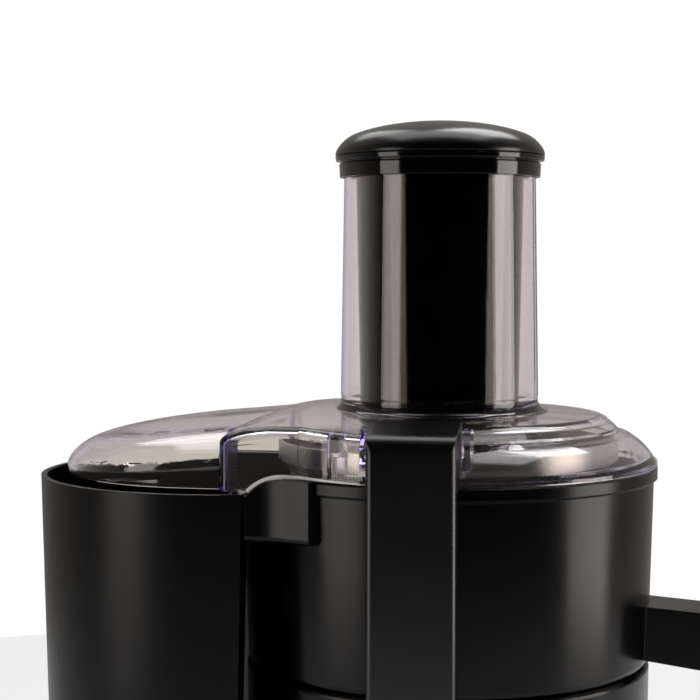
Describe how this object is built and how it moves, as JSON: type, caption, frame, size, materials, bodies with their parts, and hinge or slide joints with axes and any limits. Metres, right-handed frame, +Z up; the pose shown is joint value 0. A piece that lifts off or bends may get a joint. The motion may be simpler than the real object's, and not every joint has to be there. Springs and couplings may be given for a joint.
{
  "type": "centrifugal juicer",
  "caption": "Centrifugal juicer with a wide feed chute and pusher, a clear lid held by strap latches, a strainer basket driven by a motor base, and a side bin that catches the pulp.",
  "frame": {"origin": "middle of the footprint on the table, between the pulp bin's far side and the spout's tip", "axes": "+Z up along the spin axis, +X towards the juice spout, -X towards the pulp bin, -Y towards the front with the knob"},
  "size_m": [0.2926, 0.199, 0.3927],
  "materials": {
    "body_black": "satin gloss",
    "latch_black": "satin",
    "pusher_black": "polished",
    "matte_black": "moulded",
    "clear": "clear, faintly violet at the edges",
    "rubber": "moulded",
    "steel": "satin",
    "mesh_steel": "perforated",
    "lamination": "stacked sheet",
    "copper": "enamelled wire",
    "brass": "stamped",
    "cast_aluminium": "die cast",
    "carbon": "pressed",
    "board": "lacquered",
    "dial": "satin"
  },
  "bodies": {
    "base": {"base_housing": "body_black", "bottom_cover": "matte_black", "rubber_feet": "rubber", "cover_screws": "steel", "juice_bowl": "body_black", "shaft_seal": "rubber", "motor_top_bracket": "cast_aluminium", "motor_bottom_bracket": "cast_aluminium", "upper_bearing": "steel", "lower_bearing": "steel", "stator_core": "lamination", "field_coils": "copper", "motor_bolts": "steel", "motor_mounts": "rubber", "mount_screws": "steel", "brush_holders": "brass", "carbon_brushes": "carbon", "speed_switch": "matte_black", "dial_plate": "dial", "interlock_switches": "matte_black", "control_board": "board", "cord_gland": "rubber", "front_latch_pin": "steel", "rear_latch_pin": "steel"},
    "drive": {"motor_shaft": "steel", "rotor_core": "lamination", "armature_winding": "copper", "commutator": "copper", "cooling_fan": "matte_black", "drive_coupling": "matte_black", "basket_frame": "steel", "basket_mesh": "mesh_steel", "cutter_disc": "steel", "cutter_rivets": "steel"},
    "lid": {"lid_cover": "clear", "feed_chute": "clear"},
    "pusher": {"pusher_body": "pusher_black", "pusher_cap": "pusher_black"},
    "front_latch": {"front_latch": "latch_black"},
    "rear_latch": {"rear_latch": "latch_black"},
    "speed_knob": {"speed_knob": "latch_black", "switch_spindle": "matte_black"},
    "pulp_bin": {"pulp_bin": "body_black"}
  },
  "joints": [
    {"name": "basket_spin", "type": "hinge", "parent": "base", "child": "drive", "pos_m": [0.02935, 0, 0.2], "axis": [0, 0, 1], "continuous": true},
    {"name": "lid_lift", "type": "slide", "parent": "base", "child": "lid", "axis": [0, 0, 1], "range_m": [0, 0.095]},
    {"name": "pusher_slide", "type": "slide", "parent": "lid", "child": "pusher", "axis": [0, 0, 1], "range_m": [0, 0.16]},
    {"name": "front_latch_swing", "type": "hinge", "parent": "base", "child": "front_latch", "pos_m": [0.02935, -0.0935, 0.152], "axis": [1, 0, 0], "range_deg": [0, 75]},
    {"name": "rear_latch_swing", "type": "hinge", "parent": "base", "child": "rear_latch", "pos_m": [0.02935, 0.0935, 0.152], "axis": [-1, 0, 0], "range_deg": [0, 75]},
    {"name": "knob_turn", "type": "hinge", "parent": "base", "child": "speed_knob", "pos_m": [0.02935, -0.0858, 0.076], "axis": [0, 1, 0], "range_deg": [0, 90]},
    {"name": "bin_slide", "type": "slide", "parent": "base", "child": "pulp_bin", "axis": [-1, 0, 0], "range_m": [0, 0.22]}
  ],
  "couplings": [
    {"joint": "front_latch_swing", "follows": "lid_lift", "rad_per_m": 13.77},
    {"joint": "rear_latch_swing", "follows": "lid_lift", "rad_per_m": 13.77}
  ]
}
